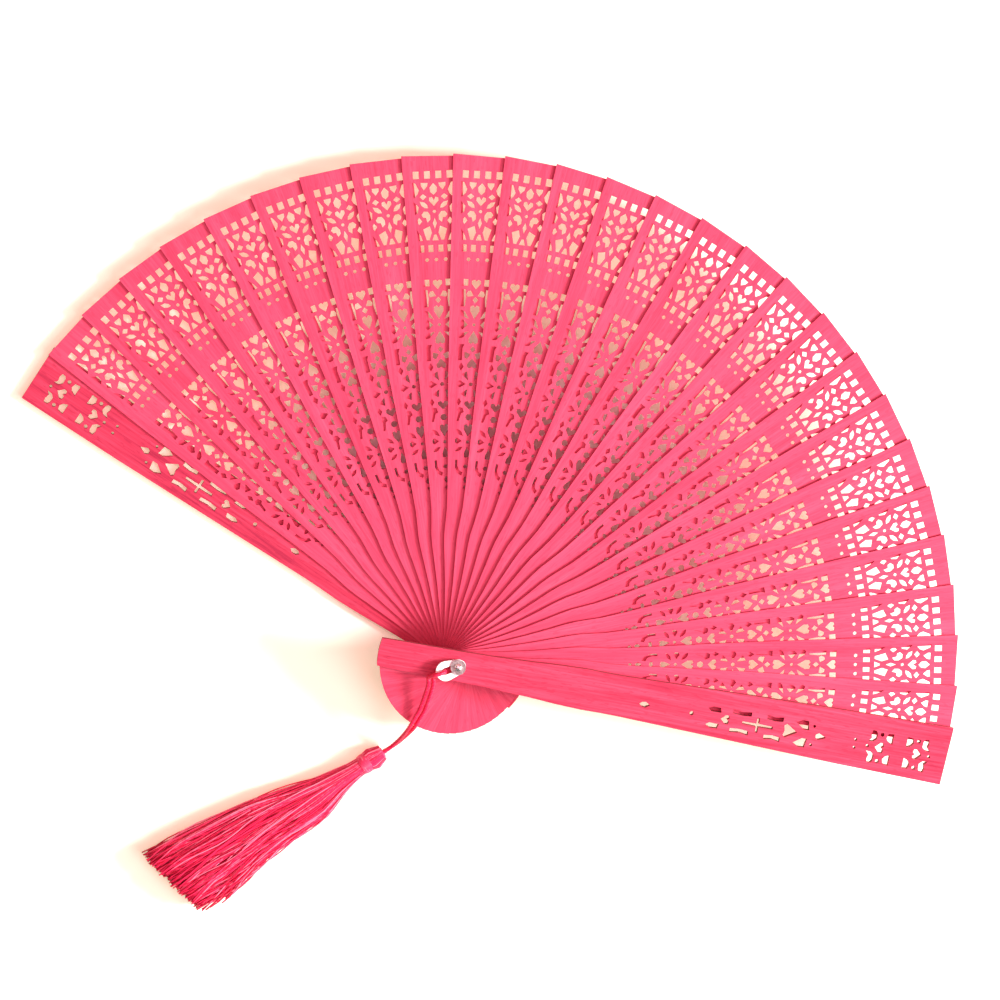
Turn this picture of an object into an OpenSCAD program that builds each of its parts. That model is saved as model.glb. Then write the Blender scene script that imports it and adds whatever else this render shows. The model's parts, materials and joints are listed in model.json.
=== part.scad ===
// Folding fan: pierced thin-wood sticks turning on one rivet, with a tassel on a doubled cord.
// Shown open and lying flat. Origin on the rivet's axis at the underside of the back guard,
// +Y along the middle of the spread, +Z from the back guard towards the front guard.

/* [Sticks] */
// number of inner sticks between the two guards
rib_n = 26; // [20:1:30]
// angle between the two guards when the fan is fully open
spread = 156.4; // [120:0.1:165]
// angle from the last inner stick to the front guard, a little under the other steps
last_turn = 4.7; // [4:0.1:6]
// rivet centre to the tip of a stick
reach = 172; // [160:0.5:185]
// thickness of an inner stick
rib_t = 0.6; // [0.4:0.05:0.8]
// free height between neighbouring sticks
gap = 0.2; // [0.15:0.05:0.4]
// thickness of a guard
guard_t = 2.4; // [1.6:0.1:4]
// rivet centre to the end of an inner stick's tail
rib_tail = 26.3; // [24:0.1:27]
// rivet centre to the end of a guard's tail
guard_tail = 27.4; // [26.4:0.1:34]
// how far each opening is cut back beyond its drawn outline
cut_back = 0.17; // [0:0.01:0.22]
// how far a guard's pattern sits off its middle line, towards the outer edge
pattern_shift = 1.3; // [0:0.1:2]

/* [Rivet and link] */
// diameter of the rivet's shank
pin_d = 2; // [1.6:0.1:2.6]
// play between the shank and a turning stick, on the diameter
pin_play = 0.16; // [0.06:0.02:0.2]
// diameter of the washer under the rivet's head
washer_d = 5.2; // [4:0.1:7]
// clear height under the front washer, where the cord's link turns
link_room = 2.3; // [2:0.1:3]
// thickness of the link
link_t = 1.1; // [0.8:0.1:1.5]
// direction of the link about the rivet
link_dir = 219; // [215:1:240]

/* [Tassel] */
// diameter of one strand of the cord
cord_d = 1.5; // [1:0.1:2]
// length of the bound head
head_len = 9.6; // [6:0.1:14]
// diameter of the bound head
head_d = 6.8; // [5:0.1:9]
// length of the loose skirt
skirt_len = 75; // [50:1:100]
// width of the skirt at its cut end
skirt_w = 27; // [16:0.5:34]
// height of the skirt at its cut end
skirt_h = 8.6; // [6:0.1:12]

/* [Hidden] */
pitch = (spread - last_turn) / rib_n;
step = rib_t + gap;
rib_z0 = guard_t + gap;
front_z = rib_z0 + rib_n * step;
top_z = front_z + guard_t;
washer_t = 0.4;
washer_z = top_z + link_room;
bore_d = pin_d + pin_play;
link_tilt = 11;
head_dir = 235;
head_at = [-8.9, -40.6, head_d / 2 + 0.15];

// half width of a stick at distances from the rivet, [distance, half width]
rib_half = [
    [-18, 4.7], [0, 4.4], [10, 4.2], [17, 4.35], [26, 4.8], [34, 5.4], [39, 5.85], [43, 6],
    [47, 5.8], [52, 5.6], [60, 5.85], [75, 6.6], [95, 7.65], [134, 9.1]
];
guard_half = [
    [-26, 4.8], [-18, 4.95], [0, 5.15], [12, 5.4], [26, 6.1], [35, 6.7], [44, 7.05], [50, 6.95],
    [57, 7], [73, 7.5], [134, 9.4]
];

// cord: middle line of the two strands from the tassel's head to the link, [x, y, z]
route = [
    [-8.9, -40.6, 3.6], [-7.7, -38.9, 3.6], [-6.4, -36.2, 5], [-5.6, -33.2, 8.2], [-5.3, -30.6, 12],
    [-5.2, -28.4, 15.6], [-5, -26, 18], [-4.8, -23, 19], [-4.5, -19.7, 20], [-4.9, -15.6, 22],
    [-5.6, -11.2, 24.7], [-6.3, -8.2, 26.3], [-7.3, -6.8, 26.75]
];
// turn of the cord over the link's end, through its eye and back under it,
// [distance from the rivet along the link, height above the front guard]
turn = [
    [9.5, 2.9], [8.8, 4], [7.6, 4.3], [6.2, 4.15], [5.1, 3.7], [4.7, 2.8], [4.7, 1.8], [5.1, 0.95],
    [6.1, 0.82], [7.3, 0.8], [8.6, 0.8]
];

function two(k) = str(k < 10 ? "0" : "", k);
RIBS = [for (k = [1:rib_n]) str("rib_", two(k))];

back_guard();
for (k = [1:rib_n])
    rib(k);
front_guard();
rivet_pin();
rivet_washer();
back_washer();
cord_link();
tassel_cord();
tassel_head();
tassel_skirt();

// ---- sticks ----

module back_guard()
    color("#E8345F")
        rotate([0, 0, spread / 2])
            difference() {
                mirror([1, 0, 0])
                    linear_extrude(guard_t) guard_2d();
                translate([0, 0, -1]) cylinder(d = bore_d, h = guard_t + 2, $fn = 48);
                translate([0, 0, -1]) cylinder(d = washer_d + 0.6, h = 1.95, $fn = 64);
            }

module front_guard()
    color("#F04A72")
        translate([0, 0, front_z])
            rotate([0, 0, -spread / 2])
                difference() {
                    linear_extrude(guard_t) guard_2d();
                    translate([0, 0, -1]) cylinder(d = pin_d, h = guard_t + 2, $fn = 48);
                }

module rib(k)
    color("#FB6288")
        translate([0, 0, rib_z0 + (k - 1) * step])
            rotate([0, 0, spread / 2 - k * pitch])
                difference() {
                    linear_extrude(rib_t) rib_2d();
                    translate([0, 0, -1]) cylinder(d = bore_d, h = rib_t + 2, $fn = 48);
                }

module rib_2d()
    difference() {
        outline(rib_half, arc_tail(rib_tail, 4.7), 10.35, 0.36);
        offset(delta = cut_back / 2) rib_top_panel();
        offset(delta = cut_back) rib_low_panel();
    }

module guard_2d()
    difference() {
        outline(guard_half, arc_tail(guard_tail, 4.75), 10.1, 0.3);
        translate([pattern_shift, 0])
            offset(delta = cut_back) {
                guard_tip_block();
                guard_low_block();
            }
    }

// rounded end of a tail, centred on the rivet
function arc_tail(r, half) =
    let (a = asin(half / r))
        [for (i = [-3:3]) [r * sin(i * a / 3), -r * cos(i * a / 3)]];

// stick outline: half widths mirrored left and right, tail points, slightly slanted tip
module outline(half, tail, tip_half, slant)
    polygon(concat(
        tail,
        [for (p = half) [p[1], p[0]]],
        [[tip_half, reach - slant], [-tip_half, reach + slant]],
        [for (i = [len(half) - 1:-1:0]) [-half[i][1], half[i][0]]]
    ));

// ---- openings ----

// a shape and its mirror image either side of the stick's middle line
module pair(x, y, a = 0)
    for (s = [-1, 1])
        scale([s, 1]) translate([x, y]) rotate(a) children();

module dot(d) circle(d = d, $fn = 6);

module diamond(w, h) polygon([[-w / 2, 0], [0, -h / 2], [w / 2, 0], [0, h / 2]]);

// pointed oval, long way along x
module leaf(l, w)
    polygon([
        [-l / 2, 0], [-l / 4, -w * 0.42], [l / 8, -w / 2], [l / 2, 0], [l / 8, w / 2], [-l / 4, w * 0.42]
    ]);

// heart with its point towards the rivet
module heart(w, h, notch = 0.3)
    polygon([
        [0, -h / 2], [w * 0.47, h * 0.1], [w * 0.45, h * 0.42], [w * 0.2, h / 2], [0, h * (0.5 - notch)],
        [-w * 0.2, h / 2], [-w * 0.45, h * 0.42], [-w * 0.47, h * 0.1]
    ]);

// rounded patch with a point towards +x
module bud(l, w)
    polygon([
        [-l / 2, -w * 0.25], [-l * 0.2, -w / 2], [l / 2, 0], [-l * 0.2, w / 2], [-l / 2, w * 0.25]
    ]);

// upright slot bowed away from the middle line
module bow(w, h)
    polygon([
        [-w * 0.3, -h / 2], [w / 2, -h / 2], [w * 0.2, 0], [w / 2, h / 2], [-w * 0.3, h / 2], [-w / 2, 0]
    ]);

module rib_top_panel() {
    for (x = [5.72, 1.92]) pair(x, 165.7) square([1.85, 2.35], center = true);
    pair(0, 0) polygon([[7, 163.2], [6.1, 162.9], [5, 160.6], [5.4, 159.4], [6.7, 158.1]]);
    pair(3, 161.9) polygon([[-1.1, 1], [1.1, 1.1], [1.1, 0.2], [0.2, -1.2], [-0.9, 0]]);
    translate([0, 160.9]) rotate(90) leaf(3.8, 2.4);
    pair(3.6, 158.3) diamond(2.1, 1.8);
    pair(3.4, 155.6, 40) leaf(3.4, 1.35);
    translate([0, 156.7]) heart(3.3, 2.9, 0.42);
    pair(0, 0) polygon([[6.8, 156.5], [5.3, 154.9], [5.6, 153.1], [6.5, 152.5]]);
    translate([0, 153.3]) dot(1);
    pair(0, 0)
        polygon([
            [4.3, 152.3], [3.5, 153.3], [2.3, 153.2], [1.5, 152], [1.5, 150.6], [2.4, 149.8], [2.8, 151.3],
            [3.8, 151.4]
        ]);
    pair(5.2, 150.1) diamond(1.7, 2.2);
    translate([0, 149.3]) diamond(1.2, 3.3);
    pair(0, 0) polygon([[3.95, 147.3], [1.8, 148.3], [1.2, 146.2], [2.05, 143.7], [2.9, 143.7]]);
    pair(0, 0) polygon([[6.1, 147], [4.9, 145], [4.4, 143.6], [5.7, 143.6]]);
    translate([0, 144.4]) polygon([[-0.95, -0.8], [0.95, -0.8], [0.3, 1], [-0.3, 1]]);
    for (x = [4.8, 1.7]) pair(x, 140.8) square([1.5, 2.2], center = true);
    pair(3.15, 137) dot(1.2);
    translate([0, 137]) dot(1.1);
}

module rib_low_panel() {
    // crossed petals between slots
    pair(3.8, 129.2) square([1.8, 1.9], center = true);
    translate([0, 128.6]) heart(3, 2.8, 0.2);
    pair(4.05, 123.9) bow(1.4, 5.5);
    pair(1.85, 125.2, 205) bud(2, 2);
    translate([0, 123.3]) diamond(1.5, 1.7);
    // rosette
    translate([0, 119.2]) heart(3.1, 4.2, 0.18);
    pair(3.5, 118.2, 220) bud(3.5, 1.6);
    pair(3.45, 114.9, 180) bud(2.3, 3.1);
    translate([0, 114.9]) dot(0.8);
    pair(3.4, 111.5, 149) bud(3.3, 1.4);
    translate([0, 110.5]) rotate(180) heart(3.1, 4, 0.18);
    // crossed petals again, smaller
    pair(0, 0) polygon([[3.1, 108], [4.7, 108], [4.6, 102.8], [3.6, 102.8], [3.6, 106.9]]);
    translate([0, 106.5]) diamond(1.5, 1.7);
    pair(1.75, 104.5, 160) bud(1.9, 2.2);
    translate([0, 101.7]) rotate(180) heart(3.1, 3, 0.25);
    pair(3.6, 100.5) diamond(1.4, 2.2);
    // six-pointed star
    pair(2.1, 97.6) polygon([[-0.9, -1.3], [0.9, 0.3], [-0.6, 1.2]]);
    pair(3.2, 94.6, 180) bud(2.4, 2.1);
    translate([0, 94.6]) dot(1.1);
    pair(2.1, 91.5) polygon([[-0.9, 1.1], [0.9, -0.3], [-0.6, -1.1]]);
    // heart, scrolls and ball
    pair(3.7, 88.5) diamond(1.2, 2);
    translate([0, 87.4]) heart(3.4, 2.5, 0.38);
    pair(0, 0)
        polygon([
            [2, 85.1], [2.4, 86.3], [3.5, 86.5], [4, 85.6], [3.4, 84.8], [3.9, 82], [3.5, 82], [2.8, 84.6]
        ]);
    translate([0, 83.3]) dot(2);
    // fan of petals
    translate([0, 78.9]) heart(3, 3.7, 0.25);
    pair(2.85, 78, 223) leaf(2.7, 0.95);
    pair(3.1, 75.1, 180) bud(1.8, 1.8);
    translate([0, 74.8]) dot(0.8);
    pair(2.75, 72.3, 146) leaf(2.3, 0.85);
    translate([0, 71.2]) rotate(180) heart(1.7, 3.2, 0.15);
    // closing scrolls
    pair(0, 0)
        polygon([
            [3.6, 68.4], [3.1, 68.4], [3, 66.4], [2.4, 64.9], [1.3, 64.3], [1.5, 63.4], [2.9, 64.2], [3.5, 66.2]
        ]);
    translate([0, 66.4]) leaf(1.9, 1);
    translate([0, 61.9]) diamond(1.4, 1.9);
    translate([0, 59.2]) dot(0.9);
}

// half of the guard's tip block, seen from its middle line outwards to the tip
module guard_quatrefoil() {
    translate([0, 10.9]) dot(0.8);
    pair(0, 0)
        polygon([
            [1.9, 10.6], [2.9, 9.7], [4.4, 10.1], [5.6, 9.8], [5.5, 8.8], [4.8, 8.3], [3, 8.2], [2, 9.3]
        ]);
    pair(4.7, 6.5) dot(1.1);
    translate([0, 6.7]) rotate(180) heart(3.5, 2.7, 0.34);
    pair(0, 0) polygon([[2.1, 2.6], [5.4, 2.6], [5.2, 4.3], [3.7, 4.7], [2.7, 4]]);
}

module guard_tip_block() {
    translate([0, 154.9]) {
        guard_quatrefoil();
        mirror([0, 1]) guard_quatrefoil();
    }
    pair(1.4, 139.6) dot(0.7);
}

module guard_low_block() {
    translate([0, 127.4]) rotate(90) bud(3.2, 2);
    pair(3.3, 124.6) dot(0.7);
    pair(0, 0) polygon([[1.7, 122.8], [4.5, 122.3], [4.6, 120.4], [3.6, 118.5], [1.7, 121.2]]);
    translate([0, 116.6]) polygon([[0, 2.2], [2.2, -1.4], [1.6, -2.1], [0, -1.7], [-1.6, -2.1], [-2.2, -1.4]]);
    pair(3.4, 110.8) bow(1.5, 5.4);
    translate([0, 105.1])
        polygon([
            [-0.3, 5.2], [0.3, 5.2], [0.4, 0.3], [2.4, 0.3], [2.4, -0.3], [0.4, -0.3], [0.3, -5.2], [-0.3, -5.2],
            [-0.4, -0.3], [-2.4, -0.3], [-2.4, 0.3], [-0.4, 0.3]
        ]);
    pair(3.2, 99.2) bow(1.4, 6.2);
    translate([0, 93.7]) heart(3, 2.6);
    pair(0, 0) polygon([[2.2, 91.8], [3.5, 91.4], [3.6, 89], [2.9, 87.5], [2.1, 88.6]]);
    translate([0, 81.9]) dot(1.2);
    translate([0, 65.4]) rotate(90) leaf(3.2, 1.6);
}

// ---- rivet ----

module rivet_pin()
    color("#D9D4D2") {
        cylinder(d = 3.2, h = 0.4, $fn = 48);
        cylinder(d = pin_d, h = washer_z + washer_t, $fn = 48);
        translate([0, 0, washer_z + washer_t])
            rotate_extrude($fn = 48)
                polygon([[0, 0], [1.3, 0], [1.3, 0.3], [1.05, 0.65], [0.6, 0.85], [0, 0.92]]);
    }

module rivet_washer()
    color("#8F8887")
        translate([0, 0, washer_z]) washer();

module back_washer()
    color("#8F8887")
        translate([0, 0, 0.4]) washer();

module washer()
    difference() {
        cylinder(d = washer_d, h = washer_t, $fn = 64);
        translate([0, 0, -1]) cylinder(d = pin_d, h = washer_t + 2, $fn = 48);
    }

// long link hung on the rivet's shank, its far end lifted by the cord that passes under it
module cord_link()
    color("#F6F2F0")
        translate([0, 0, top_z + 0.08])
            rotate([0, 0, link_dir])
                translate([-2.5, 0, 0])
                    rotate([0, -link_tilt, 0])
                        translate([2.5, 0, 0])
                            linear_extrude(link_t)
                                difference() {
                                    polygon(round_ends(0, 2.5, 4.7, 3.4, 9));
                                    polygon(round_ends(-0.2, 1.2, 5, 1.2, 6));
                                }

// two arcs joined by their tangents: near end at x0 with radius r0, far end at x1 with radius r1
function round_ends(x0, r0, x1, r1, n) =
    let (b = asin((r1 - r0) / (x1 - x0)))
        concat(
            [for (i = [0:n]) let (a = 90 + b + i * (180 - 2 * b) / n) [x0 + r0 * cos(a), r0 * sin(a)]],
            [for (i = [0:n + 1]) let (a = -90 - b + i * (180 + 2 * b) / (n + 1))
                [x1 + r1 * cos(a), r1 * sin(a)]]
        );

// ---- cord and tassel ----

function unit(v) = v / norm(v);
// the two strands lie side by side at the link and one above the other at the tassel's head
function across(p, i) =
    let (
        d = unit(p[min(i + 1, len(p) - 1)] - p[max(i - 1, 0)]),
        s = unit([-d[1], d[0], 0]),
        w = 90 * max(0, 1 - i / 8)
    )
        cos(w) * s + sin(w) * cross(d, s);
function strand(p, off) = [for (i = [0:len(p) - 1]) p[i] + off * across(p, i)];
function rev(p) = [for (i = [len(p) - 1:-1:0]) p[i]];
// one pass of corner cutting, ends kept
function smooth(p) =
    concat(
        [p[0]],
        [for (i = [0:len(p) - 2]) each [0.75 * p[i] + 0.25 * p[i + 1], 0.25 * p[i] + 0.75 * p[i + 1]]],
        [p[len(p) - 1]]
    );
turn_xyz = [
    for (q = turn)
        [q[0] * cos(link_dir), q[0] * sin(link_dir), top_z + q[1]]
];
loop_path = smooth(concat(strand(route, 0.85), turn_xyz, rev(strand(route, -0.85))));

// round tube of sides faces along a path, rings carried along without twist
function tube_frames(p, i = 0, n = undef, out = []) =
    i == len(p) ? out :
    let (
        t = unit(p[min(i + 1, len(p) - 1)] - p[max(i - 1, 0)]),
        n0 = n == undef ? [0, 0, 1] : n,
        n1 = unit(n0 - (n0 * t) * t)
    )
        tube_frames(p, i + 1, n1, concat(out, [[p[i], n1, cross(t, n1)]]));

module tube(p, r, sides) {
    f = tube_frames(p);
    n = len(p);
    polyhedron(
        points = [
            for (q = f) for (j = [0:sides - 1])
                q[0] + r * (cos(j * 360 / sides) * q[1] + sin(j * 360 / sides) * q[2])
        ],
        faces = concat(
            [[for (j = [sides - 1:-1:0]) j]],
            [for (i = [0:n - 2]) for (j = [0:sides - 1])
                [i * sides + j, i * sides + (j + 1) % sides,
                 (i + 1) * sides + (j + 1) % sides, (i + 1) * sides + j]],
            [[for (j = [0:sides - 1]) (n - 1) * sides + j]]
        )
    );
}

module tassel_cord()
    color("#E8204F") tube(loop_path, cord_d / 2, 8);

// places a shape drawn along +X at the tassel's head, lying on the resting surface
module along_tassel()
    translate(head_at) rotate([0, 0, head_dir]) children();

module tassel_head()
    color("#F02C5E")
        along_tassel()
            rotate([0, 90, 0])
                rotate_extrude($fn = 48)
                    polygon([
                        [0, 0], [2, 0], [head_d / 2 - 0.3, 1.2], [head_d / 2, 2.6], [head_d / 2, head_len - 3],
                        [head_d / 2 - 0.5, head_len - 0.6], [head_d / 2 - 0.8, head_len], [0, head_len]
                    ]);

// loose strands as one flattened, widening body; the cut end is slanted
skirt_n = 24;
skirt_rows = 10;
function skirt_at(u) =
    let (
        w = head_d - 1.4 + (skirt_w - head_d + 1.4) * pow(u, 0.85),
        h = head_d - 1.4 + (skirt_h - head_d + 1.4) * sin(90 * min(1, 1.6 * u))
    )
        [w / 2, h / 2];
function skirt_ring(i) =
    let (u = i / skirt_rows, s = skirt_at(u))
        [for (j = [0:skirt_n - 1])
            let (a = j * 360 / skirt_n)
                [
                    head_len + u * (skirt_len - 1 - 4 * cos(a)),
                    s[0] * cos(a),
                    s[1] * (1 + sin(a)) - head_at[2] + 0.1 + (1 - min(1, 4 * u)) * 0.75
                ]];

module tassel_skirt()
    color("#FF1E55")
        along_tassel()
            polyhedron(
                points = [for (i = [0:skirt_rows]) each skirt_ring(i)],
                faces = concat(
                    [[for (j = [0:skirt_n - 1]) j]],
                    [for (i = [0:skirt_rows - 1]) for (j = [0:skirt_n - 1])
                        [i * skirt_n + j, (i + 1) * skirt_n + j,
                         (i + 1) * skirt_n + (j + 1) % skirt_n, i * skirt_n + (j + 1) % skirt_n]],
                    [[for (j = [skirt_n - 1:-1:0]) skirt_rows * skirt_n + j]]
                )
            );
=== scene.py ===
import json
import math

import bpy
from mathutils import Matrix, Vector

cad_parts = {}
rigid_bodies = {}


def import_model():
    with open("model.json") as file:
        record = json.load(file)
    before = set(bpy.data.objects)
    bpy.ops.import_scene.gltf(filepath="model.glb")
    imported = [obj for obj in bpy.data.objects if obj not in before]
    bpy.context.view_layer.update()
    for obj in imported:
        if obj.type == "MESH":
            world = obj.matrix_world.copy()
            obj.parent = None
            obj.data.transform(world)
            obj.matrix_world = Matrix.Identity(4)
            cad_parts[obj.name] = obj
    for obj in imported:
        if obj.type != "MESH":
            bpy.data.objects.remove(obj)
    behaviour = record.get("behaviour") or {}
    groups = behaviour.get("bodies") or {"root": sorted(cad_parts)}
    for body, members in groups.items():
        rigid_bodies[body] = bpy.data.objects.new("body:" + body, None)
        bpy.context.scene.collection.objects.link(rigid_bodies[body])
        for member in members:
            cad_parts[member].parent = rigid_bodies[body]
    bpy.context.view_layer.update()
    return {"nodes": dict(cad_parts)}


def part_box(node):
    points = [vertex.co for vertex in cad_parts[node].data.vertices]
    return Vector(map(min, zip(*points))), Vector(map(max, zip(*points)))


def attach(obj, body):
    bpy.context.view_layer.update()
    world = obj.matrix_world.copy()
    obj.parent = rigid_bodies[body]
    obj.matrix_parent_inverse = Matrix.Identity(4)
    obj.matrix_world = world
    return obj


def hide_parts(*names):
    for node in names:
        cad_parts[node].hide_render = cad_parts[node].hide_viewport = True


# A brise folding fan of dyed sandalwood lying open on a table, with a rayon tassel.
# Metres, in the part's own frame: rivet axis on Z, sticks fanned about +Y.

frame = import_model()
nodes = frame["nodes"]
MM = 0.001

# ---- the fan's own measures, as the part has them ----
RIB_N = 26
SPREAD = 156.4
LAST_TURN = 4.7
TURN = (SPREAD - LAST_TURN) / RIB_N
GUARD_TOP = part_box("front_guard")[1].z
LINK_DIR = math.radians(219)
HEAD_DIR = math.radians(235)
HEAD_AT = Vector((-8.9, -40.6, 3.55)) * MM
HEAD_LEN = 9.6 * MM
SKIRT_LEN = 75 * MM
CORD_D = 1.5 * MM

# middle line of the doubled cord from the tassel's head up to the link
ROUTE = [
    (-8.9, -40.6, 3.6), (-7.7, -38.9, 3.6), (-6.4, -36.2, 5), (-5.6, -33.2, 8.2),
    (-5.3, -30.6, 12), (-5.2, -28.4, 15.6), (-5, -26, 18), (-4.8, -23, 19),
    (-4.5, -19.7, 20), (-4.9, -15.6, 22), (-5.6, -11.2, 24.7), (-6.3, -8.2, 26.3),
    (-7.3, -6.8, 26.75),
]
# the cord's turn round the link's far end: distance along the link, height above the front guard
TURN_ROUND = [
    (9.5, 2.9), (8.8, 4), (7.6, 4.3), (6.2, 4.15), (5.1, 3.7), (4.7, 2.8), (4.7, 1.8),
    (5.1, 0.95), (6.1, 0.82), (7.3, 0.8), (8.6, 0.8),
]
STRAND_OFF = 0.85


# ---- small tools ----
def hex_rgb(code):
    """An sRGB hex colour as linear RGBA."""
    out = []
    for i in (0, 2, 4):
        c = int(code.lstrip("#")[i : i + 2], 16) / 255
        out.append(c / 12.92 if c <= 0.04045 else ((c + 0.055) / 1.055) ** 2.4)
    return (*out, 1.0)


def add(tree, kind, links=None, **settings):
    """Adds a node with its settings. links gives inputs, by name or number, a value or a socket."""
    n = tree.nodes.new(kind)
    for key, value in settings.items():
        setattr(n, key, value)
    for key, value in (links or {}).items():
        socket = n.inputs[key]
        if isinstance(value, bpy.types.NodeSocket):
            tree.links.new(value, socket)
        else:
            socket.default_value = value
    return n


def ramp(tree, fac, stops):
    """A colour ramp over fac, stops as [(place, hex colour)]."""
    n = add(tree, "ShaderNodeValToRGB", {"Fac": fac})
    while len(n.color_ramp.elements) < len(stops):
        n.color_ramp.elements.new(0.5)
    for e, (place, code) in zip(n.color_ramp.elements, stops):
        e.position = place
        e.color = hex_rgb(code)
    return n.outputs["Color"]


def mixed(tree, fac, a, b):
    """Mixes two colours; a and b are sockets or hex colours."""
    n = add(tree, "ShaderNodeMix", data_type="RGBA")
    for socket, value in ((n.inputs[0], fac), (n.inputs[6], a), (n.inputs[7], b)):
        if isinstance(value, str):
            value = hex_rgb(value)
        if isinstance(value, bpy.types.NodeSocket):
            tree.links.new(value, socket)
        else:
            socket.default_value = value
    return n.outputs[2]


def math_node(tree, operation, a, b=0.0, c=0.0):
    return add(tree, "ShaderNodeMath", {0: a, 1: b, 2: c}, operation=operation).outputs[0]


def new_material(name, **values):
    """A material with one Principled shader; values are its own sockets by name."""
    m = bpy.data.materials.new(name)
    m.use_nodes = True
    t = m.node_tree
    t.nodes.clear()
    shader = add(t, "ShaderNodeBsdfPrincipled", values)
    add(t, "ShaderNodeOutputMaterial", {"Surface": shader.outputs[0]})
    return m, t, shader


def link(tree, out, socket):
    tree.links.new(out, socket)


def repaint(node, material):
    """Gives a CAD node this one material."""
    me = nodes[node].data
    me.materials.clear()
    me.materials.append(material)


# ---- finishes ----
PORE_FROM = 0.64
PORE_WEIGHT = 0.4
WALL_BELOW = 0.5


def dyed_wood(name, angle, seed, face, streak, pale, edge, grain_mm, contrast):
    """Dyed sandalwood, sawn thin, cut through by laser, dyed in a vat and left unvarnished.

    It has a soft sheen, fine straight grain along the stick, streaks where the dye went
    in deeper, and darker walls where the cutter went through: partly the cut's own colour,
    partly painted shade."""
    m, t, shader = new_material(name)
    shader.inputs["Specular IOR Level"].default_value = 0.2
    shader.inputs["Sheen Weight"].default_value = 0.04
    shader.inputs["Sheen Roughness"].default_value = 0.5
    place = add(t, "ShaderNodeTexCoord").outputs["Object"]
    # turned so that Y runs along this stick, and moved so that no two sticks are cut alike
    along = add(
        t, "ShaderNodeMapping",
        {"Vector": place, "Rotation": (0, 0, -math.radians(angle)),
         "Location": (seed * 0.0173, seed * 0.0311, seed * 0.0071)},
    ).outputs["Vector"]

    def grain(across_mm, along_mm, detail, rough):
        s = add(
            t, "ShaderNodeMapping",
            {"Vector": along, "Scale": (1000 / across_mm, 1000 / along_mm, 1000 / across_mm)},
        ).outputs["Vector"]
        return add(
            t, "ShaderNodeTexNoise",
            {"Vector": s, "Scale": 1.0, "Detail": detail, "Roughness": rough},
        ).outputs["Fac"]

    fibres = grain(across_mm=grain_mm, along_mm=grain_mm * 34, detail=3, rough=0.6)
    bands = grain(across_mm=3.6, along_mm=70, detail=2, rough=0.5)
    patches = grain(across_mm=9, along_mm=14, detail=2, rough=0.55)
    pores = grain(across_mm=0.55, along_mm=3.2, detail=1, rough=0.4)
    lift = math_node(t, "MULTIPLY_ADD", fibres, contrast, 0.5 - contrast / 2)
    lift = math_node(t, "ADD", lift, math_node(t, "MULTIPLY_ADD", bands, 0.75, -0.375))
    colour = ramp(t, lift, [(0.2, streak), (0.5, face), (0.85, pale)])
    dye = math_node(t, "MULTIPLY_ADD", patches, 0.5, -0.08)
    colour = mixed(t, dye, colour, face)
    open_pore = math_node(t, "GREATER_THAN", pores, PORE_FROM)
    dark_pore = math_node(t, "MULTIPLY", open_pore, PORE_WEIGHT)
    colour = mixed(t, dark_pore, colour, streak)
    # walls of the openings and the stick's own edges, where their normals lie flat, are painted darker:
    # partly the cut's own colour, partly painted shade
    normal = add(t, "ShaderNodeNewGeometry").outputs["Normal"]
    up = add(t, "ShaderNodeSeparateXYZ", {0: normal}).outputs["Z"]
    wall = math_node(t, "LESS_THAN", math_node(t, "ABSOLUTE", up), WALL_BELOW)
    colour = mixed(t, wall, colour, edge)
    link(t, colour, shader.inputs["Base Color"])
    rough = math_node(t, "MULTIPLY_ADD", fibres, 0.16, 0.48)
    link(t, rough, shader.inputs["Roughness"])
    bump = add(
        t, "ShaderNodeBump",
        {"Strength": 0.22, "Distance": 0.00006, "Height": math_node(t, "ADD", fibres, pores)},
    )
    link(t, bump.outputs["Normal"], shader.inputs["Normal"])
    return m


def rivet_nickel():
    """Nickel-plated steel, turned and headed over: a bright dome with fine rub marks."""
    m, t, shader = new_material("Nickel-plated rivet, polished", Metallic=1.0)
    place = add(t, "ShaderNodeTexCoord").outputs["Object"]
    rub = add(t, "ShaderNodeTexNoise", {"Vector": place, "Scale": 2600.0, "Detail": 3.0})
    link(t, ramp(t, rub.outputs["Fac"], [(0.3, "#C9B9B6"), (0.7, "#EFE6E2")]), shader.inputs["Base Color"])
    link(t, math_node(t, "MULTIPLY_ADD", rub.outputs["Fac"], 0.22, 0.12), shader.inputs["Roughness"])
    return m


def washer_steel():
    """Stamped steel washer gone dull: grey with darker spots of tarnish."""
    m, t, shader = new_material("Stamped steel washer, tarnished", Metallic=0.85)
    place = add(t, "ShaderNodeTexCoord").outputs["Object"]
    spots = add(t, "ShaderNodeTexNoise", {"Vector": place, "Scale": 1500.0, "Detail": 4.0})
    link(
        t,
        ramp(t, spots.outputs["Fac"], [(0.25, "#6E6361"), (0.55, "#A39997"), (0.8, "#C4BBB9")]),
        shader.inputs["Base Color"],
    )
    link(t, math_node(t, "MULTIPLY_ADD", spots.outputs["Fac"], 0.35, 0.28), shader.inputs["Roughness"])
    bump = add(t, "ShaderNodeBump", {"Strength": 0.3, "Distance": 0.00003, "Height": spots.outputs["Fac"]})
    link(t, bump.outputs["Normal"], shader.inputs["Normal"])
    return m


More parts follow.
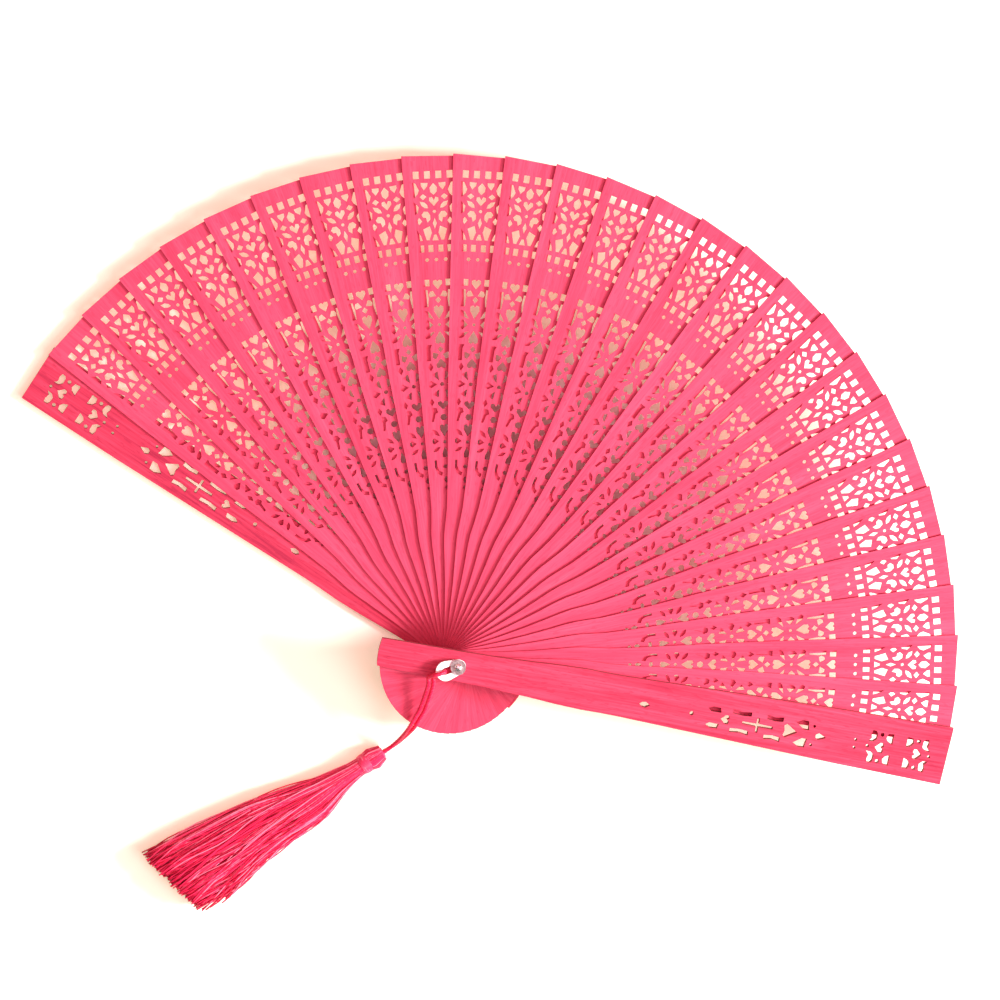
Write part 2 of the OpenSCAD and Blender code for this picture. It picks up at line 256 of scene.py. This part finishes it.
def link_plastic():
    """White acetal link, moulded: bright and smooth with a faint cream cast and flow marks."""
    m, t, shader = new_material("White acetal, moulded")
    shader.inputs["IOR"].default_value = 1.48
    shader.inputs["Subsurface Weight"].default_value = 0.08
    shader.inputs["Subsurface Scale"].default_value = 0.0006
    place = add(t, "ShaderNodeTexCoord").outputs["Object"]
    flow = add(t, "ShaderNodeTexNoise", {"Vector": place, "Scale": 420.0, "Detail": 2.0})
    link(t, ramp(t, flow.outputs["Fac"], [(0.3, "#F3EFE8"), (0.7, "#FDFBF8")]), shader.inputs["Base Color"])
    link(t, math_node(t, "MULTIPLY_ADD", flow.outputs["Fac"], 0.14, 0.2), shader.inputs["Roughness"])
    return m


def rayon(name, deep, body, light, sheen):
    """Dyed rayon floss: silky, lit along its length, each strand its own tone; the palest tones are painted
    highlight standing in for sheen.
    """
    m, t, shader = new_material(name)
    shader.inputs["Sheen Weight"].default_value = sheen
    shader.inputs["Sheen Roughness"].default_value = 0.3
    shader.inputs["Anisotropic"].default_value = 0.4
    shader.inputs["Specular IOR Level"].default_value = 0.3
    tone = add(t, "ShaderNodeAttribute", attribute_name="tone").outputs["Fac"]
    place = add(t, "ShaderNodeTexCoord").outputs["Object"]
    fleck = add(t, "ShaderNodeTexNoise", {"Vector": place, "Scale": 900.0, "Detail": 2.0}).outputs["Fac"]
    shade = math_node(t, "ADD", tone, math_node(t, "MULTIPLY_ADD", fleck, 0.5, -0.25))
    # painted highlight at the light end of the ramp, on the palest strands; the deep end also takes the
    # painted shade of the cut ends
    dye = ramp(t, shade, [(0.0, deep), (0.36, body), (0.6, body), (0.95, light)])
    link(t, dye, shader.inputs["Base Color"])
    link(t, math_node(t, "MULTIPLY_ADD", tone, -0.12, 0.44), shader.inputs["Roughness"])
    return m


WEFT_PITCH = 0.32 * MM
SELVEDGE_FROM = 2.2 * MM


def satin_ribbon():
    """Rayon satin ribbon, dyed with the sticks: fine ribs across it and a tight edge on each side."""
    m, t, shader = new_material("Satin ribbon, rayon", Roughness=0.4)
    shader.inputs["Sheen Weight"].default_value = 0.2
    shader.inputs["Sheen Roughness"].default_value = 0.3
    at = add(t, "ShaderNodeAttribute", attribute_name="weave").outputs["Vector"]
    split = add(t, "ShaderNodeSeparateXYZ", {0: at})
    run = math_node(t, "MULTIPLY", split.outputs["X"], 2 * math.pi / WEFT_PITCH)
    ribs = math_node(t, "SINE", run)
    across = math_node(t, "ABSOLUTE", split.outputs["Y"])
    edge = math_node(t, "GREATER_THAN", across, SELVEDGE_FROM)
    slub = add(t, "ShaderNodeTexNoise", {"Vector": at, "Scale": 700.0, "Detail": 2.0}).outputs["Fac"]
    shade = math_node(t, "ADD", slub, math_node(t, "MULTIPLY", ribs, 0.12))
    colour = ramp(t, shade, [(0.3, "#B01C42"), (0.55, "#D23A5E"), (0.8, "#E86A88")])
    link(t, mixed(t, math_node(t, "MULTIPLY", edge, 0.7), colour, "#9C1438"), shader.inputs["Base Color"])
    bump = add(t, "ShaderNodeBump", {"Strength": 0.4, "Distance": 0.00003, "Height": ribs})
    link(t, bump.outputs["Normal"], shader.inputs["Normal"])
    return m


RIB_TONES = [0.0, 0.6, -0.5, 0.3, -0.2, 0.8, -0.7, 0.1, 0.5, -0.4, 0.2, -0.1, 0.7]


def shaded(code, amount):
    """The hex colour made a little lighter or darker."""
    vals = [int(code[i : i + 2], 16) for i in (1, 3, 5)]
    return "#" + "".join(f"{max(0, min(255, round(v * (1 + amount)))):02X}" for v in vals)


for k in range(1, RIB_N + 1):
    tone = RIB_TONES[k % len(RIB_TONES)] * 0.02
    repaint(
        f"rib_{k:02d}",
        dyed_wood(
            f"Dyed sandalwood stick {k:02d}", SPREAD / 2 - k * TURN, k,
            shaded("#D2425F", tone), shaded("#BC2E4C", tone), shaded("#DC5672", tone),
            "#BE0E3C", 0.5, 0.8,
        ),
    )
for name, angle, seed in (("back_guard", SPREAD / 2, 41), ("front_guard", -SPREAD / 2, 57)):
    repaint(
        name,
        dyed_wood(
            "Dyed sandalwood guard, " + name.split("_")[0], angle, seed,
            "#C93450", "#98193A", "#D84C68", "#A4102F", 0.65, 1.15,
        ),
    )
repaint("rivet_pin", rivet_nickel())
WASHER = washer_steel()
repaint("rivet_washer", WASHER)
repaint("back_washer", WASHER)
repaint("cord_link", link_plastic())
RIBBON = satin_ribbon()
STRAND_RAYON = rayon("Rayon floss, loose strands", "#B80634", "#F02A5A", "#FF86A2", 0.06)
BIND_RAYON = rayon("Rayon floss, bound", "#C41240", "#EC4068", "#FF94AC", 0.08)
CORD_RAYON = rayon("Rayon cord, twisted", "#BE0630", "#E61E4A", "#FF5474", 0.06)


# ---- geometry node tools ----
class Tree:
    """A geometry node tree under construction, with its named number inputs."""

    def __init__(self, name):
        self.t = bpy.data.node_groups.new(name, "GeometryNodeTree")
        self.t.interface.new_socket("Geometry", in_out="INPUT", socket_type="NodeSocketGeometry")
        self.t.interface.new_socket("Geometry", in_out="OUTPUT", socket_type="NodeSocketGeometry")
        self.ids = {}
        self.entry = None

    def inputs(self, **kinds):
        """Adds the named inputs, whose values grown() sets by their identifiers."""
        for name, kind in kinds.items():
            s = self.t.interface.new_socket(name, in_out="INPUT", socket_type="NodeSocket" + kind)
            self.ids[name] = s.identifier
        self.entry = self.t.nodes.new("NodeGroupInput")

    def given(self, name):
        return self.entry.outputs[name]

    def add(self, kind, links=None, **settings):
        return add(self.t, kind, links, **settings)

    def m(self, operation, a, b=0.0, c=0.0):
        return math_node(self.t, operation, a, b, c)

    def rand(self, low, high, seed):
        n = self.t.nodes.new("FunctionNodeRandomValue")
        n.data_type = "FLOAT"
        floats = [s for s in n.inputs if s.type == "VALUE"]
        floats[0].default_value, floats[1].default_value = low, high
        seeds = [s for s in n.inputs if s.name == "Seed"]
        seeds[0].default_value = seed
        return [s for s in n.outputs if s.type == "VALUE"][0]

    def store(self, geometry, name, value):
        """Stores a number on each point."""
        return self.add(
            "GeometryNodeStoreNamedAttribute",
            {"Geometry": geometry, "Name": name, "Value": value}, domain="POINT", data_type="FLOAT",
        ).outputs[0]

    def read(self, name):
        return self.add(
            "GeometryNodeInputNamedAttribute", {"Name": name}, data_type="FLOAT"
        ).outputs[0]

    def tube(self, curve, sides, radius):
        """A closed tube along a curve, its section a polygon of so many sides."""
        ring = self.add(
            "GeometryNodeCurvePrimitiveCircle", {"Resolution": sides, "Radius": radius}
        ).outputs[0]
        return self.swept(curve, ring)

    def swept(self, curve, section):
        return self.add(
            "GeometryNodeCurveToMesh", {"Curve": curve, "Profile Curve": section, "Fill Caps": True}
        ).outputs[0]

    def end(self, geometry, material):
        real = self.add("GeometryNodeRealizeInstances", {"Geometry": geometry}).outputs[0]
        done = self.add("GeometryNodeSetMaterial", {"Geometry": real, "Material": material}).outputs[0]
        self.add("NodeGroupOutput", {"Geometry": done})
        return self


def grown(name, tree, place, start=None, **values):
    """Runs a geometry node tree on an empty mesh, or on start, and returns the plain mesh piece."""
    o = bpy.data.objects.new(name, start or bpy.data.meshes.new(name))
    bpy.context.scene.collection.objects.link(o)
    mod = o.modifiers.new("grow", "NODES")
    mod.node_group = tree.t
    for key, value in values.items():
        mod[tree.ids[key]] = value
    dg = bpy.context.evaluated_depsgraph_get()
    mesh = bpy.data.meshes.new_from_object(o.evaluated_get(dg))
    bpy.data.objects.remove(o)
    mesh.transform(place)
    mesh.update()
    out = bpy.data.objects.new(name, mesh)
    bpy.context.scene.collection.objects.link(out)
    return out


TASSEL_PLACE = Matrix.Translation(HEAD_AT) @ Matrix.Rotation(HEAD_DIR, 4, "Z")


# ---- tassel strands: folded over the cord, pinched by the binding, then loose ----
STRAND_POINTS = 22
STRAND_FROM = 0.5 * MM
# where the skirt starts to spread, and over what length
SPREAD_FROM = 11.5 * MM
SPREAD_RUN = 73.5 * MM
# half height of the neck, and how far the skirt starts above the strands' own rest height
NECK_HALF = 3.2 * MM
NECK_LIFT = 0.7 * MM
# the cut: its slant across the bundle, how much shorter one edge is, and how ragged it is
CUT_SLANT = 3.2 * MM
CUT_EDGE = 0.06
CUT_RAGGED = 1.2 * MM
CUT_SPARE = 0.4 * MM
# heights over the table of the skirt's underside and of the lowest strand's middle
REST_AT = 0.4 * MM
LOWEST_AT = 0.3 * MM
STRAND_LIFT = 0.3 * MM
# the longest distance and the widest half width that the width curves hold, in millimetres
CURVE_LONG = 90
CURVE_WIDE = 16
# half width of the bundle at distances from the cord's end, in millimetres, for its two edges
EDGES = (
    [(0, 1.5), (1, 3.1), (3, 4.1), (5, 3.9), (7, 3.1), (9, 2.95), (12, 3.4), (18, 4.8), (24, 7), (30, 8.8),
     (42, 9.2), (54, 10), (62, 11.4), (72, 13.6), (90, 14.6)],
    [(0, 1.5), (1, 3.1), (3, 4), (5, 3.8), (7, 3.1), (9, 2.9), (12, 3), (18, 3.8), (24, 4.6), (30, 6.2),
     (36, 7.8), (42, 9.2), (54, 11.3), (66, 12.8), (90, 14.8)],
)


def strand_tree():
    g = Tree("tassel strands")
    g.inputs(Strands="Int", Radius="Float", HalfHeight="Float", Wave="Float")
    pts = g.add("GeometryNodePoints", {"Count": g.given("Strands")}).outputs[0]
    pts = g.store(pts, "turn", g.rand(0, 2 * math.pi, 11))
    pts = g.store(pts, "deep", g.m("POWER", g.rand(0, 1, 12), 0.38))
    pts = g.store(pts, "tone", g.rand(0, 1, 13))
    pts = g.store(pts, "phase", g.rand(0, 6.28, 14))
    pts = g.store(pts, "drift", g.rand(-1, 1, 15))
    pts = g.store(pts, "cut", g.rand(-1, 1, 16))
    line = g.add("GeometryNodeCurvePrimitiveLine", {"End": (1.0, 0.0, 0.0)}).outputs[0]
    line = g.add("GeometryNodeResampleCurve", {"Curve": line, "Count": STRAND_POINTS}).outputs[0]
    on = g.add("GeometryNodeInstanceOnPoints", {"Points": pts, "Instance": line}).outputs[0]
    real = g.add("GeometryNodeRealizeInstances", {"Geometry": on}).outputs[0]
    t = g.add("ShaderNodeSeparateXYZ", {0: g.add("GeometryNodeInputPosition").outputs[0]}).outputs[0]
    # painted shade: the cut ends are painted darker than the lengths
    painted_end_shade = g.m("MULTIPLY", g.m("MAXIMUM", g.m("SUBTRACT", t, 0.93), 0.0), 7.0)
    real = g.store(real, "tone", g.m("SUBTRACT", g.read("tone"), painted_end_shade))
    turn, deep, phase = g.read("turn"), g.read("deep"), g.read("phase")
    drift, cut = g.read("drift"), g.read("cut")
    # the strand's place across the bundle, -1 to 1; it drifts a little as it goes down
    a = g.m("ADD", turn, g.m("MULTIPLY", g.m("MULTIPLY", drift, 0.8), t))
    ca, sa = g.m("COSINE", a), g.m("SINE", a)
    side = g.m("MULTIPLY", ca, deep)
    # the cut is slanted, shortest at one edge, and a little ragged
    end = g.m("MULTIPLY_ADD", side, -CUT_SLANT, HEAD_LEN + SKIRT_LEN + CUT_SPARE)
    outer = g.m("MAXIMUM", g.m("SUBTRACT", side, 0.8), 0.0)
    end = g.m("SUBTRACT", end, g.m("MULTIPLY", outer, CUT_EDGE))
    end = g.m("MULTIPLY_ADD", cut, CUT_RAGGED, end)
    x = g.m("MULTIPLY_ADD", t, g.m("SUBTRACT", end, STRAND_FROM), STRAND_FROM)
    # half widths of the bundle along the tassel, one curve for each edge
    widths = []
    for edge in EDGES:
        c = g.add("ShaderNodeFloatCurve", {"Value": g.m("DIVIDE", x, CURVE_LONG * MM)})
        set_curve(c, [(place / CURVE_LONG, half / CURVE_WIDE) for place, half in edge])
        widths.append(g.m("MULTIPLY", c.outputs[0], CURVE_WIDE * MM))
    pick = g.m("GREATER_THAN", ca, 0.0)
    other = g.m("MULTIPLY", g.m("SUBTRACT", 1.0, pick), widths[1])
    w = g.m("ADD", g.m("MULTIPLY", pick, widths[0]), other)
    # u runs from 0 at the head to 1 at the cut
    u = g.m("MAXIMUM", g.m("DIVIDE", g.m("SUBTRACT", x, SPREAD_FROM), SPREAD_RUN), 0.0)
    thick = g.m("MINIMUM", widths[0], NECK_HALF)
    rise = g.m("SINE", g.m("MULTIPLY", g.m("MINIMUM", g.m("MULTIPLY", u, 1.6), 1.0), math.pi / 2))
    h = g.m("MULTIPLY_ADD", rise, g.m("SUBTRACT", g.given("HalfHeight"), NECK_HALF), thick)
    slow = g.m("SINE", g.m("ADD", g.m("MULTIPLY", t, 7.0), phase))
    fast = g.m("SINE", g.m("ADD", g.m("MULTIPLY", t, 19.0), g.m("MULTIPLY", phase, 2.3)))
    free = g.m("MINIMUM", g.m("MULTIPLY", u, 1.5), 1.0)
    both = g.m("ADD", slow, g.m("MULTIPLY", fast, 0.35))
    wave = g.m("MULTIPLY", both, g.m("MULTIPLY", free, g.given("Wave")))
    y = g.m("ADD", g.m("MULTIPLY", side, w), wave)
    # the skirt settles from the head's height down onto the table
    drop = g.m("MINIMUM", g.m("MULTIPLY", u, 4.0), 1.0)
    undropped = g.m("SUBTRACT", 1.0, drop)
    base = g.m("MULTIPLY_ADD", undropped, NECK_LIFT, -HEAD_AT.z + REST_AT)
    flat = g.m("ADD", base, g.m("MULTIPLY", h, g.m("ADD", g.m("MULTIPLY", sa, deep), 1.0)))
    round_z = g.m("MULTIPLY", h, g.m("MULTIPLY", sa, deep))
    z = g.m("ADD", g.m("MULTIPLY", drop, flat), g.m("MULTIPLY", undropped, round_z))
    lift = g.m("COSINE", g.m("MULTIPLY_ADD", t, 7.0, phase))
    z = g.m("ADD", z, g.m("MULTIPLY", lift, g.m("MULTIPLY", u, STRAND_LIFT)))
    z = g.m("MAXIMUM", z, -HEAD_AT.z + LOWEST_AT)
    where = g.add("ShaderNodeCombineXYZ", {0: x, 1: y, 2: z}).outputs[0]
    laid = g.add("GeometryNodeSetPosition", {"Geometry": real, "Position": where}).outputs[0]
    return g.end(g.tube(laid, sides=4, radius=g.given("Radius")), STRAND_RAYON)


def set_curve(node, points):
    """Sets a float curve node's points."""
    c = node.mapping.curves[0]
    while len(c.points) < len(points):
        c.points.new(0.5, 0.5)
    for p, (x, y) in zip(c.points, points):
        p.location = (x, y)
    node.mapping.update()


skirt = grown(
    "tassel_strands", strand_tree(), TASSEL_PLACE,
    Strands=700, Radius=0.00024, HalfHeight=0.0043, Wave=0.0013,
)
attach(skirt, "tassel")
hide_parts("tassel_skirt")


# ---- binding: a thread wound round the neck, over a core of packed floss ----
BINDING_POINTS = 264
BINDING_SWELL = 0.28 * MM


def binding_tree():
    g = Tree("tassel binding")
    g.inputs(Turns="Float", Thread="Float", Neck="Float", Start="Float", Length="Float")
    line = g.add("GeometryNodeCurvePrimitiveLine", {"End": (1.0, 0.0, 0.0)}).outputs[0]
    line = g.add("GeometryNodeResampleCurve", {"Curve": line, "Count": BINDING_POINTS}).outputs[0]
    t = g.add("ShaderNodeSeparateXYZ", {0: g.add("GeometryNodeInputPosition").outputs[0]}).outputs[0]
    a = g.m("MULTIPLY", g.m("MULTIPLY", t, g.given("Turns")), 2 * math.pi)
    swell = g.m("MULTIPLY", g.m("SINE", g.m("MULTIPLY", t, math.pi)), BINDING_SWELL)
    r = g.m("ADD", g.given("Neck"), swell)
    x = g.m("MULTIPLY_ADD", t, g.given("Length"), g.given("Start"))
    where = g.add(
        "ShaderNodeCombineXYZ",
        {0: x, 1: g.m("MULTIPLY", g.m("COSINE", a), r), 2: g.m("MULTIPLY", g.m("SINE", a), r)},
    ).outputs[0]
    laid = g.add("GeometryNodeSetPosition", {"Geometry": line, "Position": where}).outputs[0]
    laid = g.store(laid, "tone", g.rand(0.25, 0.8, 21))
    return g.end(g.tube(laid, sides=6, radius=g.given("Thread")), BIND_RAYON)


def turned(name, profile, segments, material):
    """A closed solid turned about X from [(x, r)] in millimetres, first and last r 0."""
    verts, faces = [], []
    ring = []
    for x, r in profile:
        if r == 0:
            ring.append([len(verts)])
            verts.append((x * MM, 0, 0))
            continue
        ring.append(list(range(len(verts), len(verts) + segments)))
        for j in range(segments):
            turn = 2 * math.pi * j / segments
            verts.append((x * MM, r * MM * math.cos(turn), r * MM * math.sin(turn)))
    for a, b in zip(ring[:-1], ring[1:]):
        for j in range(segments):
            j2 = (j + 1) % segments
            if len(a) == 1:
                faces.append((a[0], b[j2], b[j]))
            elif len(b) == 1:
                faces.append((a[j], a[j2], b[0]))
            else:
                faces.append((a[j], a[j2], b[j2], b[j]))
    me = bpy.data.meshes.new(name)
    me.from_pydata(verts, [], faces)
    me.materials.append(material)
    for p in me.polygons:
        p.use_smooth = True
    me.update()
    return me


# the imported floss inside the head: distance from the cord's end and radius, in millimetres
CORE = [
    (0.1, 0), (0.1, 1.7), (0.9, 2.4), (2.4, 2.9), (4.2, 2.8), (5.2, 2.65), (8.8, 2.65), (9.5, 0),
]
core_mesh = turned("core", CORE, segments=32, material=BIND_RAYON)
core_mesh.transform(TASSEL_PLACE)
tone_layer = core_mesh.attributes.new("tone", "FLOAT", "POINT")
for i, d in enumerate(tone_layer.data):
    d.value = 0.35 + 0.2 * math.sin(i * 2.4)
core = bpy.data.objects.new("tassel_head_core", core_mesh)
bpy.context.scene.collection.objects.link(core)
binding = grown(
    "tassel_binding", binding_tree(), TASSEL_PLACE,
    Turns=9.0, Thread=0.00024, Neck=0.00315, Start=0.0058, Length=0.0034,
)
for o in (core, binding):
    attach(o, "tassel")
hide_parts("tassel_head")


# ---- cord ----
# the strands lie one above the other at the tassel's head and come side by side over so many
# points of the route
TURN_OVER = 8
CORD_POINTS = 420
CORD_SIDES = 18
CORD_PLY = 3


def doubled_path():
    """The cord's line in metres: out along one side of the route, round the link, back the other."""
    p = [Vector(q) for q in ROUTE]

    def strand(off):
        out = []
        for i, q in enumerate(p):
            d = (p[min(i + 1, len(p) - 1)] - p[max(i - 1, 0)]).normalized()
            s = Vector((-d.y, d.x, 0)).normalized()
            w = math.pi / 2 * max(0, 1 - i / TURN_OVER)
            out.append(q + off * (math.cos(w) * s + math.sin(w) * d.cross(s)))
        return out

    lead = Vector((math.cos(LINK_DIR), math.sin(LINK_DIR), 0))
    over = [lead * s + Vector((0, 0, GUARD_TOP / MM + z)) for s, z in TURN_ROUND]
    line = strand(STRAND_OFF) + over + strand(-STRAND_OFF)[::-1]
    cut = [line[0]]
    for a, b in zip(line[:-1], line[1:]):
        cut += [a.lerp(b, 0.25), a.lerp(b, 0.75)]
    return [q * MM for q in cut + [line[-1]]]


def cord_tree():
    g = Tree("twisted cord")
    g.inputs(Lay="Float", Thick="Float", Groove="Float")
    curve = g.add("GeometryNodeMeshToCurve", {"Mesh": g.given("Geometry")}).outputs[0]
    curve = g.add("GeometryNodeResampleCurve", {"Curve": curve, "Count": CORD_POINTS}).outputs[0]
    s = g.add("GeometryNodeSplineParameter").outputs["Length"]
    twist = g.m("MULTIPLY", g.m("DIVIDE", s, g.given("Lay")), 2 * math.pi)
    curve = g.add("GeometryNodeSetCurveTilt", {"Curve": curve, "Tilt": twist}).outputs[0]
    curve = g.store(curve, "tone", g.rand(0.3, 0.7, 31))
    ring = g.add(
        "GeometryNodeCurvePrimitiveCircle", {"Resolution": CORD_SIDES, "Radius": g.given("Thick")}
    ).outputs[0]
    # three strands laid together leave three grooves round the cord
    place = g.add("GeometryNodeSplineParameter").outputs["Factor"]
    around = g.m("MULTIPLY", place, 2 * math.pi * CORD_PLY)
    groove = g.m("POWER", g.m("ABSOLUTE", g.m("COSINE", g.m("MULTIPLY", around, 0.5))), 6.0)
    dent = g.m("MULTIPLY", groove, g.given("Groove"))
    share = g.m("MULTIPLY", g.m("DIVIDE", dent, g.given("Thick")), -1.0)
    spot = g.add("GeometryNodeInputPosition").outputs[0]
    inward = g.add("ShaderNodeVectorMath", {0: spot, "Scale": share}, operation="SCALE").outputs[0]
    ring = g.add("GeometryNodeSetPosition", {"Geometry": ring, "Offset": inward}).outputs[0]
    smooth = g.add("GeometryNodeSetShadeSmooth", {"Geometry": g.swept(curve, ring)}).outputs[0]
    return g.end(smooth, CORD_RAYON)


cord_line = doubled_path()
wire = bpy.data.meshes.new("cord line")
wire.from_pydata(cord_line, [(i, i + 1) for i in range(len(cord_line) - 1)], [])
cord = grown(
    "tassel_cord_twisted", cord_tree(), Matrix.Identity(4), wire,
    Lay=0.0042, Thick=CORD_D / 2, Groove=0.00013,
)
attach(cord, "tassel")
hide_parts("tassel_cord")


# ---- ribbon: the length glued behind each stick, above the lower panel ----
RIBBON_HALF = 8.3 * MM
RIBBON_WIDE = 5.2 * MM
RIBBON_AT = 133.3 * MM
RIBBON_THICK = 0.09 * MM


def ribbon_length(node, body, angle):
    """A flat closed strip on the underside of a stick, with its own weave coordinates."""
    nx, ny = 24, 3
    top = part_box(node)[0].z
    turn = Matrix.Rotation(math.radians(angle), 4, "Z")
    verts, weave, faces = [], [], []
    for z in (top, top - RIBBON_THICK):
        for j in range(ny + 1):
            for i in range(nx + 1):
                x = RIBBON_HALF * (2 * i / nx - 1)
                y = RIBBON_WIDE * (j / ny - 0.5)
                verts.append(turn @ Vector((x, RIBBON_AT + y, z)))
                weave.append((x, y, z))
    row, lower = nx + 1, (nx + 1) * (ny + 1)
    for j in range(ny):
        for i in range(nx):
            a = j * row + i
            faces.append((a, a + 1, a + row + 1, a + row))
            faces.append((a + lower, a + lower + row, a + lower + row + 1, a + lower + 1))
    rim = [i for i in range(nx)] + [j * row + nx for j in range(ny)]
    rim += [ny * row + i for i in range(nx, 0, -1)] + [j * row for j in range(ny, 0, -1)]
    for a, b in zip(rim, rim[1:] + rim[:1]):
        faces.append((a, a + lower, b + lower, b))
    me = bpy.data.meshes.new("ribbon")
    me.from_pydata(verts, [], faces)
    me.attributes.new("weave", "FLOAT_VECTOR", "POINT").data.foreach_set(
        "vector", [c for q in weave for c in q]
    )
    me.materials.append(RIBBON)
    me.update()
    o = bpy.data.objects.new("ribbon_" + node, me)
    bpy.context.scene.collection.objects.link(o)
    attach(o, body)


for k in range(1, RIB_N + 1):
    ribbon_length(f"rib_{k:02d}", f"rib_{k:02d}", SPREAD / 2 - k * TURN)
ribbon_length("front_guard", "front", -SPREAD / 2)


# ---- stage, light, camera ----
FLOOR_HALF = 4.0
FLOOR_LEVEL = -0.0001
# the painted glow's ellipse, where the glow dims into painted shade: Mapping values, the radius where it
# starts to clear, and over what distance
GLOW_SHIFT = (0, -0.058, 0)
GLOW_SCALE = (0.75, 1, 1)
GLOW_FROM = 0.044
GLOW_OVER = 0.03
GLOW_STRENGTH = 0.38


def pale_floor_painted_glow():
    m, t, shader = new_material("Pale paper sweep, painted glow and shade", Roughness=0.9)
    shader.inputs["Base Color"].default_value = hex_rgb("#F4F0E4")
    # it glows though it is no lamp: painted light, cream all round, and painted shade, dim and crimson in
    # an ellipse under the middle of the fan
    place = add(t, "ShaderNodeTexCoord").outputs["Object"]
    middle = add(
        t, "ShaderNodeMapping", {"Vector": place, "Location": GLOW_SHIFT, "Scale": GLOW_SCALE}
    ).outputs["Vector"]
    away = add(t, "ShaderNodeVectorMath", {0: middle}, operation="LENGTH").outputs["Value"]
    far = math_node(t, "MULTIPLY_ADD", away, 1 / GLOW_OVER, -GLOW_FROM / GLOW_OVER)
    link(t, ramp(t, far, [(0.0, "#5A1A2A"), (1.0, "#FFF6C0")]), shader.inputs["Emission Color"])
    shader.inputs["Emission Strength"].default_value = GLOW_STRENGTH
    me = bpy.data.meshes.new("floor")
    s, z = FLOOR_HALF, FLOOR_LEVEL
    me.from_pydata([(-s, -s, z), (s, -s, z), (s, s, z), (-s, s, z)], [], [(0, 1, 2, 3)])
    me.materials.append(m)
    o = bpy.data.objects.new("floor", me)
    bpy.context.scene.collection.objects.link(o)
    return o


pale_floor_painted_glow()

TARGET = Vector((-0.0074, 0.0565, 0.012))
TOWARDS_CAMERA = Vector((-0.1302, 0.0991, 1.0)).normalized()
CAMERA_TURN = 0.4062
CAMERA_AWAY = 1.3
CAMERA_LENS = 137.2


def soft_light(name, angle, elevation, distance, size, power, colour):
    """A square soft light, by its angle about Z and height above the table."""
    data = bpy.data.lights.new(name, "AREA")
    data.energy, data.size, data.color = power, size, hex_rgb(colour)[:3]
    o = bpy.data.objects.new(name, data)
    a, e = math.radians(angle), math.radians(elevation)
    way = Vector((math.cos(a) * math.cos(e), math.sin(a) * math.cos(e), math.sin(e)))
    o.location = TARGET + way * distance
    o.rotation_mode = "QUATERNION"
    o.rotation_quaternion = way.to_track_quat("Z", "Y")
    bpy.context.scene.collection.objects.link(o)


soft_light("key", 19, 29, 1.6, 0.36, 52, "#FFFFFF")
soft_light("second", -8, 50, 1.6, 0.9, 14, "#FFFFFF")
# the top light has a rose gel, which reddens the shadows between the sticks
soft_light("top", 120, 78, 1.4, 1.0, 12, "#FFA4B6")

WORLD_STRENGTH = 0.24
world = bpy.data.worlds.new("studio")
world.use_nodes = True
world.node_tree.nodes["Background"].inputs[0].default_value = hex_rgb("#FFFFFF")
world.node_tree.nodes["Background"].inputs[1].default_value = WORLD_STRENGTH
bpy.context.scene.world = world
bpy.context.scene.view_settings.view_transform = "Standard"

camera_data = bpy.data.cameras.new("camera")
camera_data.sensor_width = 36
camera_data.lens = CAMERA_LENS
camera_data.clip_end = 20
camera = bpy.data.objects.new("camera", camera_data)
forward = -TOWARDS_CAMERA
right0 = forward.cross(Vector((0, 1, 0))).normalized()
up0 = right0.cross(forward)
cam_right = right0 * math.cos(CAMERA_TURN) + up0 * math.sin(CAMERA_TURN)
cam_up = -right0 * math.sin(CAMERA_TURN) + up0 * math.cos(CAMERA_TURN)
camera.matrix_world = Matrix.Translation(TARGET + TOWARDS_CAMERA * CAMERA_AWAY) @ Matrix(
    (cam_right, cam_up, -forward)
).transposed().to_4x4()
bpy.context.scene.collection.objects.link(camera)
bpy.context.scene.camera = camera
